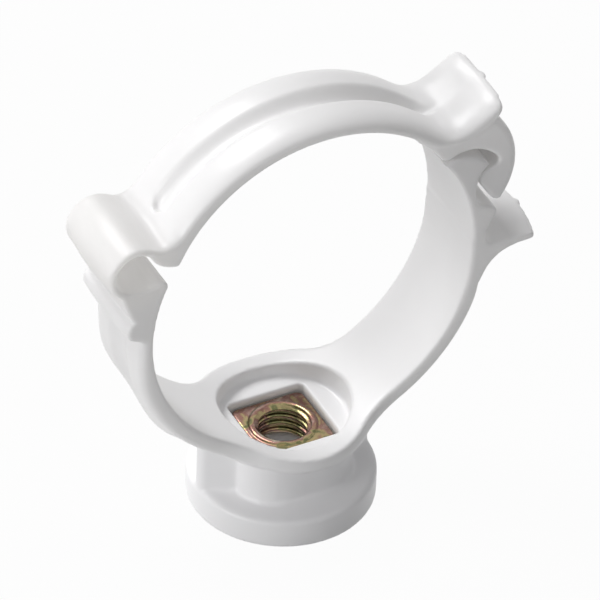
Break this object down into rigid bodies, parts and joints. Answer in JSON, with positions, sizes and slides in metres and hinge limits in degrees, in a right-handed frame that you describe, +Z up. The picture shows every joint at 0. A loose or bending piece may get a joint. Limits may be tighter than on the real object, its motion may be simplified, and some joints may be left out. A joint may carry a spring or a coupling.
{
  "type": "pipe clip",
  "caption": "Hinged plastic pipe clip that snaps shut: ribbed strap on a moulded loop hinge, hook latch, and a round foot with a square nut for a threaded rod.",
  "frame": {"origin": "on the axis of the round foot, at its underside, where the threaded rod goes in", "axes": "+Z up from the foot through the pipe's centre, +X towards the latch and away from the hinge loop, Y along the pipe"},
  "size_m": [0.0686, 0.0272, 0.0698],
  "materials": {
    "white_plastic": "soft gloss moulded white",
    "hinge_plastic": "soft gloss moulded white",
    "strap_plastic": "soft gloss moulded white",
    "nut_steel": "yellow passivated zinc"
  },
  "bodies": {
    "base": {"clip_base": "white_plastic", "square_nut": "nut_steel", "hinge_loop": "hinge_plastic"},
    "strap": {"strap": "strap_plastic"}
  },
  "joints": [
    {"name": "strap_hinge", "type": "hinge", "parent": "base", "child": "strap", "pos_m": [-0.02743, 0, 0.0533], "axis": [0, -1, 0], "range_deg": [0, 90], "deforming": ["hinge_loop"]}
  ]
}
